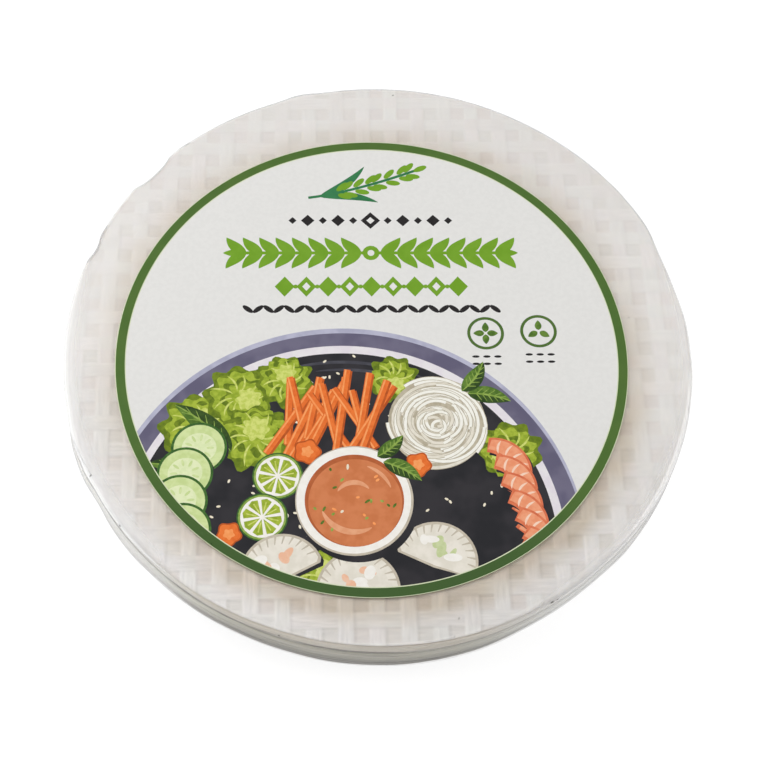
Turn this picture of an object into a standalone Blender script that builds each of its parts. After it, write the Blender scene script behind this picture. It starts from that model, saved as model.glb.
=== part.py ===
"""A shrink-wrapped stack of round rice paper wrappers with a round label on top.

The dry sheets lie flat on each other in a clear film that is pulled tight over
the edges, so the pack is one closed solid: a low disc with rounded rims, a
crease where the upper sheets stand clear of the lower ones, and a few pleats
where the film draws in. The label is a thin card disc stuck on the film a
little off the middle. Metres, +Z up, origin under the middle of the pack.
"""

import math

import bmesh
import bpy

# Driving dimensions
SHEET_DIAMETER = 0.220  # one dry rice paper sheet
WRAP_ALLOWANCE = 0.0020  # what uneven stacking and the film add to the radius
PACK_HEIGHT = 0.0206
RIM_ROUNDING = 0.0015  # radius of the film's turn over the top edge
BASE_ROUNDING = 0.0010  # radius of its turn under the bottom edge
BASE_BULGE = 0.0003  # how far the side swells between the two turns

LABEL_DIAMETER = 0.1814
LABEL_THICKNESS = 0.0003
LABEL_CENTRE = (-0.00205, -0.00495)  # stuck on a little left of and before the middle
CONTACT_GAP = 0.0003

# Mesh density
SEGMENTS = 180
TURN_STEPS = 4
SIDE_STEPS = 5
LABEL_SEGMENTS = 144

# Worked out from the driving dimensions
PACK_RADIUS = SHEET_DIAMETER / 2 + WRAP_ALLOWANCE

# The crease between the upper and the lower sheets. It runs round the front
# left of the side, lower towards the front, and dies out at both ends.
CREASE_DEPTH = 0.0009
CREASE_HALF_WIDTH = 0.0006
CREASE_SHALLOW = 0.12  # share of the depth that is left round the rest of the side
CREASE_START, CREASE_END = math.radians(196), math.radians(284)
CREASE_HIGH = PACK_HEIGHT - 0.0055
CREASE_LOW = PACK_HEIGHT - 0.0070
CREASE_FADE = math.radians(14)

# Dents and swellings of the side: azimuth in degrees, depth in metres (outward
# is positive), half width in degrees, and the height at which each is deepest
# with its half height in metres. Each is flat in its middle, with steep ends.
DENTS = (
    (143.0, -0.0021, 3.4, 0.021, 0.013),  # deep film pleat, far left
    (163.0, -0.0010, 2.0, 0.021, 0.012),  # narrow film pleat beside it
    (170.0, -0.0004, 20.0, 0.021, 0.012),  # slack side between the pleats
    (109.0, 0.0007, 2.6, 0.020, 0.003),  # small ear of gathered film
    (19.0, -0.0015, 7.0, 0.020, 0.012),  # flat where the film pulls straight
    (6.0, -0.0005, 5.0, 0.020, 0.012),  # the same, shallower
    (205.5, 0.0012, 5.5, 0.009, 0.007),  # lower sheets pushed out
    (221.0, 0.0005, 5.5, 0.002, 0.008),
    (272.0, 0.0005, 14.0, 0.002, 0.009),
    (308.0, -0.0012, 10.5, 0.002, 0.009),  # lower sheets set back
)
# Slow unevenness of the stacked outline: waves round the pack, size and phase.
WAVES = ((3, 0.00006, 0.6), (7, 0.00007, 2.1), (11, 0.00005, 4.0))


def clear_scene():
    for obj in list(bpy.data.objects):
        bpy.data.objects.remove(obj, do_unlink=True)


def make_collection(name):
    collection = bpy.data.collections.new(name)
    bpy.context.scene.collection.children.link(collection)
    return collection


def make_material(name, colour, roughness):
    material = bpy.data.materials.new(name)
    material.use_nodes = True
    shader = material.node_tree.nodes["Principled BSDF"]
    shader.inputs["Base Color"].default_value = (*colour, 1.0)
    shader.inputs["Roughness"].default_value = roughness
    shader.inputs["Metallic"].default_value = 0.0
    material.diffuse_color = (*colour, 1.0)
    return material


def smooth_step(value):
    value = min(max(value, 0.0), 1.0)
    return value * value * (3 - 2 * value)


def angle_between(first, second):
    """Signed difference of two azimuths, from -pi to pi."""
    return (first - second + math.pi) % (2 * math.pi) - math.pi


def side_profile():
    """Half section of the plain pack as (radius, height), top centre to base centre."""
    points = [(0.0, PACK_HEIGHT)]
    for step in range(TURN_STEPS + 1):
        turn = math.pi / 2 * step / TURN_STEPS
        radius = PACK_RADIUS - RIM_ROUNDING * (1 - math.sin(turn))
        points.append((radius, PACK_HEIGHT - RIM_ROUNDING * (1 - math.cos(turn))))
    crease = (CREASE_HIGH + CREASE_LOW) / 2
    for offset in (1.0, 0.45, 0.0, -0.45, -1.0):
        points.append((PACK_RADIUS, crease + offset * CREASE_HALF_WIDTH))
    below = crease - CREASE_HALF_WIDTH
    for step in range(1, SIDE_STEPS):
        share = step / SIDE_STEPS
        height = below + (BASE_ROUNDING - below) * share
        points.append((PACK_RADIUS + BASE_BULGE * math.sin(math.pi * share), height))
    for step in range(TURN_STEPS + 1):
        turn = math.pi / 2 * step / TURN_STEPS
        radius = PACK_RADIUS - BASE_ROUNDING * (1 - math.cos(turn))
        points.append((radius, BASE_ROUNDING * (1 - math.sin(turn))))
    points.append((0.0, 0.0))
    return points


def turned_mesh(name, points):
    """Closed round body from a half section, turned about Z."""
    outline = bpy.data.meshes.new(name + "_section")
    edges = [(i, i + 1) for i in range(len(points) - 1)]
    outline.from_pydata([(radius, 0.0, height) for radius, height in points], edges, [])
    section = bpy.data.objects.new(name + "_section", outline)
    bpy.context.scene.collection.objects.link(section)
    screw = section.modifiers.new("turn", "SCREW")
    screw.axis = "Z"
    screw.steps = SEGMENTS
    screw.render_steps = SEGMENTS
    screw.use_merge_vertices = True
    screw.merge_threshold = 0.00001
    evaluated = section.evaluated_get(bpy.context.evaluated_depsgraph_get())
    mesh = bpy.data.meshes.new_from_object(evaluated)
    bpy.data.objects.remove(section, do_unlink=True)
    bpy.data.meshes.remove(outline)
    mesh.name = name
    return mesh


def crease_strength(azimuth):
    """Share of the crease's full depth at this azimuth."""
    inside = smooth_step((azimuth - CREASE_START) / CREASE_FADE)
    outside = smooth_step((CREASE_END - azimuth) / CREASE_FADE)
    return CREASE_SHALLOW + (1 - CREASE_SHALLOW) * inside * outside


def crease_height(azimuth):
    """The crease sinks from the left to the front and climbs back round the rest."""
    if CREASE_START < azimuth < CREASE_END:
        share = (azimuth - CREASE_START) / (CREASE_END - CREASE_START)
    else:
        way_back = 2 * math.pi - (CREASE_END - CREASE_START)
        share = 1 - (azimuth - CREASE_END) % (2 * math.pi) / way_back
    return CREASE_HIGH + (CREASE_LOW - CREASE_HIGH) * smooth_step(share)


def outline_offset(azimuth, height):
    """How far the side stands out from the plain round pack."""
    offset = 0.0
    for count, size, phase in WAVES:
        offset += size * math.cos(count * azimuth + phase)
    for place, depth, half_width, middle, half_height in DENTS:
        across = angle_between(azimuth, math.radians(place)) / math.radians(half_width)
        along = (height - middle) / half_height
        offset += depth * math.exp(-0.5 * across**4 - 0.5 * along**2)
    return offset


def shape_pack(mesh):
    """Moves the points of the plain round pack to the uneven wrapped outline."""
    plain_crease = (CREASE_HIGH + CREASE_LOW) / 2
    flat_radius = PACK_RADIUS - 2 * RIM_ROUNDING
    for vertex in mesh.vertices:
        radius = math.hypot(vertex.co.x, vertex.co.y)
        if radius < flat_radius:
            continue
        azimuth = math.atan2(vertex.co.y, vertex.co.x) % (2 * math.pi)
        height = vertex.co.z
        from_crease = abs(height - plain_crease) / CREASE_HALF_WIDTH
        if from_crease < 1.01:
            depth = CREASE_DEPTH * crease_strength(azimuth)
            radius -= depth * math.cos(math.pi / 2 * min(from_crease, 1.0))
            height += crease_height(azimuth) - plain_crease
        radius += outline_offset(azimuth, height)
        vertex.co = (radius * math.cos(azimuth), radius * math.sin(azimuth), height)


def add_object(name, mesh, material, collection):
    mesh.materials.append(material)
    obj = bpy.data.objects.new(name, mesh)
    collection.objects.link(obj)
    return obj


def shade_round(mesh, sharp_angle):
    mesh.shade_smooth()
    mesh.set_sharp_from_angle(angle=math.radians(sharp_angle))


def build_wrapped_stack(collection):
    material = make_material("rice_paper_under_film", (0.72, 0.70, 0.65), 0.35)
    mesh = turned_mesh("wrapped_stack", side_profile())
    shape_pack(mesh)
    shade_round(mesh, 40)
    return add_object("wrapped_stack", mesh, material, collection)


def build_label(collection):
    material = make_material("label_card", (0.76, 0.75, 0.73), 0.45)
    mesh = bpy.data.meshes.new("label_disc")
    body = bmesh.new()
    bmesh.ops.create_cone(
        body,
        cap_ends=True,
        segments=LABEL_SEGMENTS,
        radius1=LABEL_DIAMETER / 2,
        radius2=LABEL_DIAMETER / 2,
        depth=LABEL_THICKNESS,
    )
    body.to_mesh(mesh)
    body.free()
    shade_round(mesh, 30)
    label = add_object("label_disc", mesh, material, collection)
    height = PACK_HEIGHT + CONTACT_GAP + LABEL_THICKNESS / 2
    label.location = (*LABEL_CENTRE, height)
    return label


def main():
    clear_scene()
    collection = make_collection("rice_paper_wrapper_stack")
    build_wrapped_stack(collection)
    build_label(collection)


main()
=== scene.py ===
"""Looks of the shrink-wrapped stack of rice paper wrappers.

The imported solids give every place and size. The wrapped solid is replaced by the
separate sheets and the clear film around them, the label solid by a printed card.
"""

import math
import random

import bmesh
import bpy
import numpy as np
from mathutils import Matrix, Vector
from mathutils.bvhtree import BVHTree
from mathutils.geometry import delaunay_2d_cdt


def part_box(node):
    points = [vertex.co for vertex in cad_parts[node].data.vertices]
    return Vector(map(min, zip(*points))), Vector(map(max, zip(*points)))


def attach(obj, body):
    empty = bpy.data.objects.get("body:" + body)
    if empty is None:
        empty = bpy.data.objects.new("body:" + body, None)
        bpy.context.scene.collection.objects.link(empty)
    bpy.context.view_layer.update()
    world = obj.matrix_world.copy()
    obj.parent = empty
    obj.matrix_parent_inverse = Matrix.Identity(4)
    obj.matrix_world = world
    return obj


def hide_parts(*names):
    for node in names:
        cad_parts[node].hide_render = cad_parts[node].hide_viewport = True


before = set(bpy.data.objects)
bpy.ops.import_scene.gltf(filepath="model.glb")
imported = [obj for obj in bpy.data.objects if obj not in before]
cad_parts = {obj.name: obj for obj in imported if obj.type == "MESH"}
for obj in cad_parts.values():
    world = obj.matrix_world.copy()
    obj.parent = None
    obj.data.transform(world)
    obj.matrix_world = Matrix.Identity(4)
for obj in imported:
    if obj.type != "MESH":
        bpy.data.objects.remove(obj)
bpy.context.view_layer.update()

MM = 0.001

# Places taken from the frame
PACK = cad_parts["wrapped_stack"]
PACK_LOW, PACK_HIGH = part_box("wrapped_stack")
LABEL_LOW, LABEL_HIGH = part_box("label_disc")
HEIGHT = PACK_HIGH.z - PACK_LOW.z
LABEL_CENTRE = (LABEL_LOW + LABEL_HIGH) / 2
LABEL_RADIUS = (LABEL_HIGH.x - LABEL_LOW.x) / 2
LABEL_TURN = math.radians(4.0)

# The sheets
SHEETS = 26
UPPER_SHEETS = 9  # the sheets above the crease
SHEET_THICKNESS = 0.60 * MM
SHEET_CORNER = 0.16 * MM  # rounding of a sheet's cut edge
SHEET_RADIUS = 110.0 * MM
TOP_CLEARANCE = 0.36 * MM  # from the film to the mean face of the outer sheets
BASE_CLEARANCE = 0.20 * MM
EDGE_CLEARANCE = 0.20 * MM
RIM_WAVES, RIM_RIPPLE = 0.12 * MM, 0.04 * MM  # unevenness of an edge, out and up
RIM_REACH = 0.13 * MM  # how much of the edge clearance a wave may take
EDGE_BEND = 4.5 * MM  # width of the rim that the film presses over
TOP_DROOP = 0.42 * MM
BASE_LIFT = 0.20 * MM
OPENING_REACH = 14.0 * MM  # how far in the two tiers stand apart at the crease
OPENING = 0.46 * MM
LEAST_OPENING = 0.03 * MM
OPENING_END = (262, 284)  # between these azimuths in degrees the tiers close up
GAP_ABOVE = 0.5 * MM  # from the middle of the film's crease up to the gap behind it

# The pressed weave of the mat that the sheets were dried on
WEAVE_PITCH = 10.36 * MM
WEAVE_TURN = math.radians(4.65)
WEAVE_OFFSET = (4.18 * MM, 0.72 * MM)
STRIP_HALF = 0.25  # half a strip, as a share of the pitch
STRIP_RISE = 0.10 * MM
HOLE_DEPTH = 0.16 * MM

# The film: the solid's own rounding at the top and the base, and a broader,
# softer shoulder on the stretches of the rim where the film sags over the sheets
FILM_COLUMNS = 720
FILM_LEVELS = 48
TOP_TURN = 1.5 * MM
BASE_TURN = 1.0 * MM
TURN_STEPS = 14
SHOULDER_RADIUS = 5.0 * MM
SHOULDER_ANGLE = math.radians(32)
FILM_SPAN = 0.6  # share of the crease's depth that the taut film bridges
BRIDGE_HALF = 0.75 * MM  # half the height over which it does
FILM_WAVES = 0.03 * MM
SOFT_STRETCHES = ((196, 32), (325, 27))  # middle and half width, in degrees of azimuth


def linear(value):
    value /= 255
    return value / 12.92 if value <= 0.04045 else ((value + 0.055) / 1.055) ** 2.4


def paint(red, green, blue):
    """Linear colour with alpha from an 8-bit colour."""
    return (linear(red), linear(green), linear(blue), 1.0)


# ---- node helpers


class Shader:
    """A small builder for one material's nodes."""

    def __init__(self, name):
        self.material = bpy.data.materials.new(name)
        self.material.use_nodes = True
        self.tree = self.material.node_tree
        self.surface = self.tree.nodes["Principled BSDF"]
        self.output = self.tree.nodes["Material Output"]

    def node(self, kind, **settings):
        node = self.tree.nodes.new(kind)
        for key, value in settings.items():
            setattr(node, key, value)
        return node

    def link(self, source, target):
        if isinstance(source, (int, float, tuple)):
            target.default_value = source
        else:
            self.tree.links.new(source, target)

    def made(self, kind, values, **settings):
        """First output of a new node whose first inputs take these values."""
        node = self.node(kind, **settings)
        for index, value in enumerate(values):
            self.link(value, node.inputs[index])
        return node.outputs[0]

    def math(self, operation, *values):
        return self.made("ShaderNodeMath", values, operation=operation)

    def times(self, first, *others):
        for other in others:
            first = self.math("MULTIPLY", first, other)
        return first

    def fitted(self, value, factor, offset):
        """The value times a factor, plus an offset."""
        return self.math("MULTIPLY_ADD", value, factor, offset)

    def vector(self, operation, *values):
        return self.made("ShaderNodeVectorMath", values, operation=operation)

    def scalar(self, operation, *values):
        """A vector operation whose result is a number."""
        vector = self.made("ShaderNodeVectorMath", values, operation=operation)
        return vector.node.outputs["Value"]

    def length(self, vector):
        return self.scalar("LENGTH", vector)

    def reach(self, vector, direction):
        """How far a vector reaches in a direction."""
        return self.scalar("DOT_PRODUCT", vector, direction)

    def turned(self, vector, angle):
        """The vector turned about Z, the angle in radians."""
        node = self.node("ShaderNodeVectorRotate", rotation_type="Z_AXIS")
        self.link(vector, node.inputs["Vector"])
        self.link(angle, node.inputs["Angle"])
        return node.outputs[0]

    def parts(self, vector):
        node = self.node("ShaderNodeSeparateXYZ")
        self.link(vector, node.inputs[0])
        return node.outputs[0], node.outputs[1], node.outputs[2]

    def joined(self, x, y, z):
        return self.made("ShaderNodeCombineXYZ", (x, y, z))

    def ramp(self, value, low, high, start=0.0, end=1.0):
        """Smooth change from start to end while value goes from low to high."""
        values = (value, low, high, start, end)
        return self.made("ShaderNodeMapRange", values, interpolation_type="SMOOTHSTEP")

    def mix(self, factor, first, second, blend="MIX"):
        node = self.node("ShaderNodeMix", data_type="RGBA", blend_type=blend)
        for socket, value in (("Factor", factor), (6, first), (7, second)):
            self.link(value, node.inputs[socket])
        return node.outputs[2]

    def blend(self, factor, first, second):
        node = self.node("ShaderNodeMix", data_type="FLOAT")
        for socket, value in ((0, factor), (2, first), (3, second)):
            self.link(value, node.inputs[socket])
        return node.outputs[0]

    def toned(self, colour, factor):
        """The colour made darker or lighter by a factor."""
        node = self.node("ShaderNodeVectorMath", operation="SCALE")
        self.link(colour, node.inputs[0])
        self.link(factor, node.inputs["Scale"])
        return node.outputs["Vector"]

    def noise(self, coordinates, scale, detail=2.0, roughness=0.5):
        node = self.node("ShaderNodeTexNoise")
        self.link(coordinates, node.inputs["Vector"])
        for socket, value in (("Scale", scale), ("Detail", detail), ("Roughness", roughness)):
            node.inputs[socket].default_value = value
        return node.outputs["Fac"]

    def bump(self, height, distance, strength=1.0):
        node = self.node("ShaderNodeBump")
        self.link(height, node.inputs["Height"])
        node.inputs["Distance"].default_value = distance
        node.inputs["Strength"].default_value = strength
        self.tree.links.new(node.outputs["Normal"], self.surface.inputs["Normal"])

    def position(self):
        return self.node("ShaderNodeTexCoord").outputs["Object"]

    def set(self, **values):
        for name, value in values.items():
            self.link(value, self.surface.inputs[name.replace("_", " ")])


# ---- the pack


def smooth(value):
    value = np.clip(value, 0.0, 1.0)
    return value * value * (3 - 2 * value)


def round_points(radius, angle, *height):
    """Points round the axis, with their height where one is given."""
    return np.stack((radius * np.cos(angle), radius * np.sin(angle), *height), axis=1)


def degrees_between(azimuth, place):
    """Signed difference of azimuths in radians and a place in degrees, in degrees."""
    return (np.degrees(azimuth) - place + 180) % 360 - 180


def arc_inset(drop, radius):
    """How far a quarter turn stands in from the side, at a drop below its top."""
    return radius * (1 - np.sqrt(np.clip(1 - (1 - drop / radius) ** 2, 0, 1)))


def shoulder_inset(drop):
    """The same for the soft shoulder: a broad arc, then a tight one down to the side."""
    sine, cosine = math.sin(SHOULDER_ANGLE), math.cos(SHOULDER_ANGLE)
    broad = SHOULDER_RADIUS * (1 - cosine)
    tight_radius = (TOP_TURN - broad) / cosine
    rise = np.clip(1 - drop / SHOULDER_RADIUS, 0, 1)
    inset = SHOULDER_RADIUS * (sine - np.sqrt(1 - rise**2)) + tight_radius * (1 - sine)
    turn = np.clip(cosine - (drop - broad) / tight_radius, 0, cosine)
    return np.where(drop < broad, inset, tight_radius * (1 - np.sqrt(1 - turn**2)))


def softness(azimuth):
    """Share of the soft shoulder in the film's turn over the top edge."""
    total = np.zeros_like(azimuth)
    for middle, half in SOFT_STRETCHES:
        total = total + np.exp(-0.5 * (degrees_between(azimuth, middle) / half) ** 4)
    return np.minimum(total, 1.0)


class PackSurface:
    """The wrapped solid's own outline, smoothed between its facets."""

    AZIMUTHS = 180
    BAND = (0.5, 0.85)  # shares of the height between which the crease runs

    def __init__(self, solid):
        self.tree = BVHTree.FromObject(solid, bpy.context.evaluated_depsgraph_get())
        self.levels = np.linspace(BASE_TURN, HEIGHT - TOP_TURN, 66)
        self.table = np.array([self.ring(height) for height in self.levels])
        self.crease_height, self.crease_depth = self.find_crease()

    def ring(self, height):
        """Radius of the solid at this height, for each facet corner's azimuth."""
        radii = []
        for index in range(self.AZIMUTHS):
            azimuth = 2 * math.pi * index / self.AZIMUTHS
            way = Vector((math.cos(azimuth), math.sin(azimuth), 0))
            found = self.tree.ray_cast(Vector((0, 0, PACK_LOW.z + height)), way)[0]
            radii.append(math.hypot(found.x, found.y))
        return radii

    def find_crease(self):
        """Height and depth of the crease at each azimuth, evened out along its run."""
        inside = (self.levels > self.BAND[0] * HEIGHT) & (self.levels < self.BAND[1] * HEIGHT)
        band = self.table[inside]
        height = self.levels[inside][band.argmin(axis=0)]
        depth = np.median(band, axis=0) - band.min(axis=0)
        evened = []
        for values in (height, depth):
            spread = np.arange(-6, 7)
            evened.append(np.mean([np.roll(values, shift) for shift in spread], axis=0))
        return evened

    def column(self, azimuth):
        """The facet corner before an azimuth, and the share of the way to the next."""
        column = np.asarray(azimuth) / (2 * math.pi) * self.AZIMUTHS
        base = np.floor(column).astype(int)
        return base, column - base

    def around(self, values, azimuth):
        """A value for each facet corner, read at any azimuth."""
        base, share = self.column(azimuth)
        before, after = values[base % self.AZIMUTHS], values[(base + 1) % self.AZIMUTHS]
        return (1 - share) * before + share * after

    def side_radius(self, azimuth, height):
        """Radius of the side at any azimuth and height, read smoothly from the table."""
        base, share = self.column(azimuth)
        level = np.interp(height, self.levels, np.arange(len(self.levels)))
        low = np.floor(level).astype(int).clip(0, len(self.levels) - 2)
        up = level - low
        total = 0
        for offset, weight in enumerate(cubic_weights(share), start=-1):
            at = (base + offset) % self.AZIMUTHS
            total = total + weight * ((1 - up) * self.table[low, at] + up * self.table[low + 1, at])
        return total

    def radius(self, azimuth, height):
        """Radius of the film: the side with its turns over the top and under the base."""
        drop = HEIGHT - height
        soft = softness(azimuth)
        over = (1 - soft) * arc_inset(drop, TOP_TURN) + soft * shoulder_inset(drop)
        over = np.where(drop < TOP_TURN, over, 0.0)
        under = np.where(height < BASE_TURN, arc_inset(np.maximum(height, 0), BASE_TURN), 0.0)
        return self.side_radius(azimuth, height) + self.bridge(azimuth, height) - over - under

    def bridge(self, azimuth, height):
        """How far the taut film stands clear of the crease in the solid."""
        from_middle = (height - self.around(self.crease_height, azimuth)) / BRIDGE_HALF
        shape = np.cos(math.pi / 2 * np.clip(from_middle, -1, 1)) ** 2
        return FILM_SPAN * self.around(self.crease_depth, azimuth) * shape


def cubic_weights(share):
    """Catmull-Rom weights of the four neighbours round a place between two of them."""
    return (
        -0.5 * share + share**2 - 0.5 * share**3,
        1 - 2.5 * share**2 + 1.5 * share**3,
        0.5 * share + 2 * share**2 - 1.5 * share**3,
        -0.5 * share**2 + 0.5 * share**3,
    )


def ring_waves(azimuth, seed, counts, size):
    """Seeded sum of a few waves round the pack, about size high."""
    source = random.Random(seed)
    total = np.zeros_like(azimuth)
    for count in counts:
        total += source.uniform(0.4, 1.0) * np.cos(count * azimuth + source.uniform(0, 6.3))
    return total * size / math.sqrt(len(counts))


def weave_place(x, y):
    """Place in the weave: whole numbers are the middles of the open squares."""
    dx, dy = x - LABEL_CENTRE.x, y - LABEL_CENTRE.y
    cos, sin = math.cos(WEAVE_TURN), math.sin(WEAVE_TURN)
    across = (dx * cos + dy * sin - WEAVE_OFFSET[0]) / WEAVE_PITCH
    along = (-dx * sin + dy * cos - WEAVE_OFFSET[1]) / WEAVE_PITCH
    return across, along


def strip_height(across, along, sign):
    """Height of one set of strips, and how much of a strip is there."""
    strip = np.floor(across)
    from_middle = np.abs(across - strip - 0.5) / STRIP_HALF
    there = smooth((1.12 - from_middle) / 0.24)
    crown = 1 - 0.35 * np.minimum(from_middle, 1.0) ** 4
    waviness = sign * np.cos(math.pi * (along - 0.5) + math.pi * strip)
    return there, STRIP_RISE * (0.35 + 0.65 * waviness) * crown


def weave_relief(x, y):
    """Height of the pressed weave above the sheet's mean face."""
    across, along = weave_place(x, y)
    upright_there, upright = strip_height(across, along, 1.0)
    level_there, level = strip_height(along, across, -1.0)
    upright = upright_there * (upright + HOLE_DEPTH) - HOLE_DEPTH
    level = level_there * (level + HOLE_DEPTH) - HOLE_DEPTH
    return np.maximum(upright, level)


def weave_fade(x, y):
    """The press mark is full inside and dies out towards the sheet's edge."""
    return 1 - 0.8 * smooth((np.hypot(x, y) - 98 * MM) / (9 * MM))


def grid_mesh(name, rings):
    """Closed mesh through rings of equal point count, with a fan over each end."""
    count = len(rings[0])
    points = list(map(tuple, np.concatenate(rings)))
    faces = []
    for ring in range(len(rings) - 1):
        base, above = ring * count, (ring + 1) * count
        for i in range(count):
            j = (i + 1) % count
            faces.append((above + i, above + j, base + j, base + i))
    for ring, order in ((0, 1), (len(rings) - 1, -1)):
        points.append(tuple(np.mean(rings[ring], axis=0)))
        middle, base = len(points) - 1, ring * count
        for i in range(count):
            pair = (base + i, base + (i + 1) % count)
            faces.append((middle, *pair[::order]))
    mesh = bpy.data.meshes.new(name)
    mesh.from_pydata(points, [], faces)
    mesh.update()
    return mesh


def add_piece(name, mesh, replaced, material=None):
    piece = bpy.data.objects.new(name, mesh)
    bpy.context.scene.collection.objects.link(piece)
    if material:
        mesh.materials.append(material)
    mesh.shade_smooth()
    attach(piece, "root")
    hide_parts(replaced)
    return piece


# ---- the sheets


def crease_opening(surface, azimuth, near_rim):
    """Height of the crease between the two tiers, and how far they stand apart there."""
    height = surface.around(surface.crease_height, azimuth)
    depth = surface.around(surface.crease_depth, azimuth)
    open_share = depth / surface.crease_depth.max()
    closing, closed = np.radians(OPENING_END)
    open_share = open_share * (1 - smooth((azimuth - closing) / (closed - closing)))
    uneven = 1 + ring_waves(azimuth, 61, (17, 29, 43, 71), 0.55)
    gap = LEAST_OPENING + OPENING * open_share**1.5 * np.clip(uneven, 0.15, 1.6)
    middle = surface.crease_height.mean()
    return middle + (height - middle + GAP_ABOVE) * near_rim, gap * near_rim


def sheet_height(surface, index, radius, azimuth):
    """Height of a sheet's mean top face: level inside, bent by the film at the rim."""
    near_rim = smooth((radius - (SHEET_RADIUS - OPENING_REACH)) / OPENING_REACH)
    crease, gap = crease_opening(surface, azimuth, near_rim)
    if index < UPPER_SHEETS:
        first = HEIGHT - TOP_CLEARANCE
        last = crease + gap / 2 + SHEET_THICKNESS
        share = index / (UPPER_SHEETS - 1)
    else:
        first = crease - gap / 2
        last = BASE_CLEARANCE + SHEET_THICKNESS
        share = (index - UPPER_SHEETS) / (SHEETS - 1 - UPPER_SHEETS)
    edge = surface.side_radius(azimuth, HEIGHT - TOP_TURN)
    bend = np.clip((radius - (edge - EDGE_BEND)) / EDGE_BEND, 0, 1) ** 2
    soft = softness(azimuth)
    droop = max(0.0, 1 - 0.2 * index) * TOP_DROOP * (0.3 + 0.9 * soft)
    lift = max(0.0, 1 - 0.25 * (SHEETS - 1 - index)) * BASE_LIFT
    return PACK_LOW.z + first + (last - first) * share + (lift - droop) * bend


def sheet_rim(surface, index, azimuth):
    """Radius of a sheet's edge: just inside the film, uneven, never past it."""
    nearly = SHEET_RADIUS * np.ones_like(azimuth)
    height = sheet_height(surface, index, nearly, azimuth) - PACK_LOW.z
    top, below = (surface.radius(azimuth, level) for level in (height, height - SHEET_THICKNESS))
    room = np.minimum(top, below) - EDGE_CLEARANCE
    source = random.Random(500 + index)
    slack = source.uniform(0.0, 0.06 if index < 3 else 0.30) * MM
    waves = ring_waves(azimuth, 40 + index, (1, 2, 3, 7, 13, 29), RIM_WAVES)
    return np.minimum(room - slack + waves, room + RIM_REACH)


def sheet_rings(surface, index, top_shares, base_shares, columns, relief):
    """Closed sheet as rings: over the top from the middle to the edge, and back below."""
    azimuth = np.arange(columns) * 2 * math.pi / columns
    rim = sheet_rim(surface, index, azimuth)
    ripple = ring_waves(azimuth, 90 + index, (5, 11, 23, 41), RIM_RIPPLE)
    rings = []

    def ring(radius, below, press):
        x, y = radius * np.cos(azimuth), radius * np.sin(azimuth)
        outer = smooth((radius - (SHEET_RADIUS - EDGE_BEND)) / EDGE_BEND)
        z = sheet_height(surface, index, radius, azimuth) - below + ripple * outer
        if press:
            z = z + press * weave_relief(x, y) * weave_fade(x, y)
        rings.append(np.stack((x, y, z), axis=1))

    top_press, base_press = relief
    for share in top_shares:
        ring(rim * share, 0.0, top_press)
    ring(rim, SHEET_CORNER, 0.0)
    ring(rim, SHEET_THICKNESS - SHEET_CORNER, 0.0)
    for share in reversed(base_shares):
        ring(rim * share, SHEET_THICKNESS, base_press)
    return rings


# Ring places of a face that lies on another sheet
HIDDEN_SHARES = (0.02, 0.87, 0.91, 0.945, 0.97, 0.985, 0.9985)
INNER_COLUMNS = 360  # points round a sheet inside the stack


def fine_shares(first, step):
    """Ring places from the middle out: coarse to first, then step apart, then the edge."""
    coarse = [0.02] + list(np.arange(0.1, first, 0.1))
    fine = list(np.arange(first, 0.9965, step))
    return coarse + fine + [0.9985]


def build_outer_sheet(surface, name, index, material, relief, first, step, columns):
    """A sheet that shows one face. Relief is the share of the pressed weave on its top
    and its base; the rings of the shown face are step apart from first outwards."""
    top_shares, base_shares = (
        fine_shares(first, step) if press else HIDDEN_SHARES for press in relief
    )
    rings = sheet_rings(surface, index, top_shares, base_shares, columns, relief)
    return add_piece(name, grid_mesh(name, rings), "wrapped_stack", material)


def join_meshes(name, meshes):
    body = bmesh.new()
    for mesh in meshes:
        body.from_mesh(mesh)
        bpy.data.meshes.remove(mesh)
    joined = bpy.data.meshes.new(name)
    body.to_mesh(joined)
    body.free()
    return joined


def build_sheets(surface, name, indices, material, shade):
    """Several sheets as one piece; the sheets beside the crease carry painted shade on their flat
    faces.
    """
    meshes = []
    for index in indices:
        rings = sheet_rings(
            surface, index, HIDDEN_SHARES, HIDDEN_SHARES, INNER_COLUMNS, relief=(0.0, 0.0)
        )
        mesh = grid_mesh(f"{name}_{index}", rings)
        # painted shade in the crease: the flat faces of the sheets beside it take the dark material
        if UPPER_SHEETS - 1 <= index <= UPPER_SHEETS + 1:
            for face in mesh.polygons:
                face.material_index = int(abs(face.normal.z) > 0.5)
        meshes.append(mesh)
    joined = join_meshes(name, meshes)
    joined.materials.append(material)
    joined.materials.append(shade)
    return add_piece(name, joined, "wrapped_stack")


# ---- the film


def film_gathers(azimuth):
    """Fine drawn-in folds of the shrunk film, as a radius change round the rim."""
    source = random.Random(7)
    total = np.zeros_like(azimuth)
    for _ in range(54):
        place = math.degrees(source.uniform(0, 2 * math.pi))
        width = source.uniform(0.5, 1.6)
        away = degrees_between(azimuth, place)
        total -= source.uniform(0.03, 0.12) * MM * np.exp(-((away / width) ** 2))
    return total


def film_waves(azimuth, height):
    """Slow slackness of the film down the side, none at its turns."""
    source = random.Random(19)
    total = np.zeros_like(azimuth)
    for count in (9, 14, 23, 37, 58):
        lean = source.uniform(-700, 700)
        total += source.uniform(0.5, 1.0) * np.cos(count * azimuth + lean * height)
    inside = np.clip(min(height - BASE_TURN, HEIGHT - TOP_TURN - height) / (3 * MM), 0, 1)
    return FILM_WAVES * total * inside


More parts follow.
